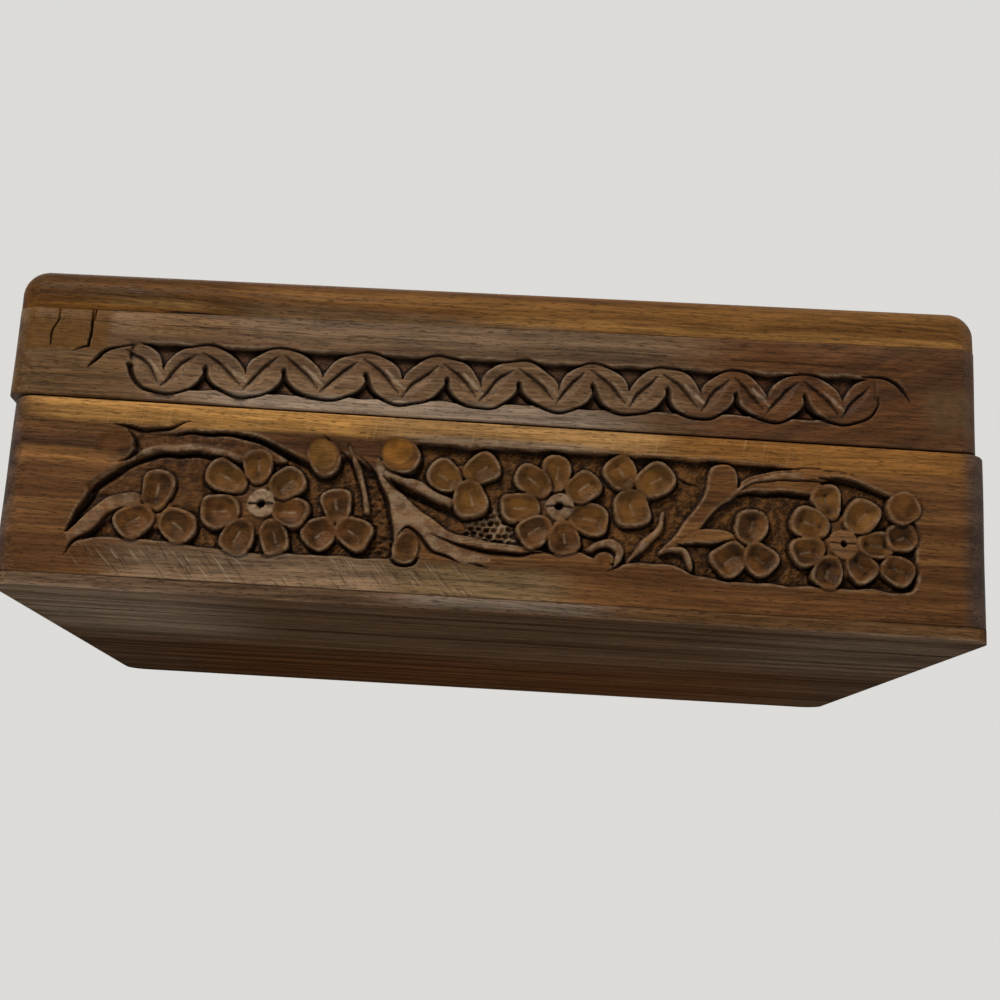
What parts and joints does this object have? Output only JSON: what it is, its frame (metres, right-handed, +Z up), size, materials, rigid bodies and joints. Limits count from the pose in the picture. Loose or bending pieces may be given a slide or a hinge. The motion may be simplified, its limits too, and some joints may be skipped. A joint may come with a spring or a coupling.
{
  "type": "rosary box",
  "caption": "Small hand-carved wooden keepsake box with a hinged lid, an Indian floral panel on its front and a wave band on the lid.",
  "frame": {"origin": "middle of the bottom board's resting face, below the middle of the base", "axes": "+Z up out of the lid, +X to the right as the carved front is faced, -Y out of the carved front; the hinges are on the +Y side"},
  "size_m": [0.1531, 0.1119, 0.0536],
  "materials": {
    "carved_base_wood": "worn oiled rosewood, hand carved, darker in the cuts",
    "base_wood": "worn oiled rosewood, planed",
    "bottom_wood": "dark unpolished board with end checks",
    "lid_top_wood": "worn oiled rosewood with amber streaks",
    "carved_rail_wood": "grey-brown rosewood, hand carved",
    "rail_wood": "grey-brown rosewood, planed",
    "hinge_brass": "tarnished sheet brass",
    "pin_brass": "tarnished drawn brass",
    "screw_brass": "tarnished turned brass"
  },
  "bodies": {
    "base": {"base_front_wall": "carved_base_wood", "base_back_wall": "base_wood", "base_left_end": "base_wood", "base_right_end": "base_wood", "base_bottom_panel": "bottom_wood", "left_hinge_base_leaf": "hinge_brass", "right_hinge_base_leaf": "hinge_brass", "left_hinge_pin": "pin_brass", "right_hinge_pin": "pin_brass", "base_hinge_screws": "screw_brass"},
    "lid": {"lid_top_panel": "lid_top_wood", "lid_front_rail": "carved_rail_wood", "lid_back_rail": "rail_wood", "lid_left_rail": "rail_wood", "lid_right_rail": "rail_wood", "left_hinge_lid_leaf": "hinge_brass", "right_hinge_lid_leaf": "hinge_brass", "lid_hinge_screws": "screw_brass"}
  },
  "joints": [
    {"name": "lid_hinge", "type": "hinge", "parent": "base", "child": "lid", "pos_m": [0, 0.0561, 0.02965], "axis": [-1, 0, 0], "range_deg": [0, 180]}
  ]
}
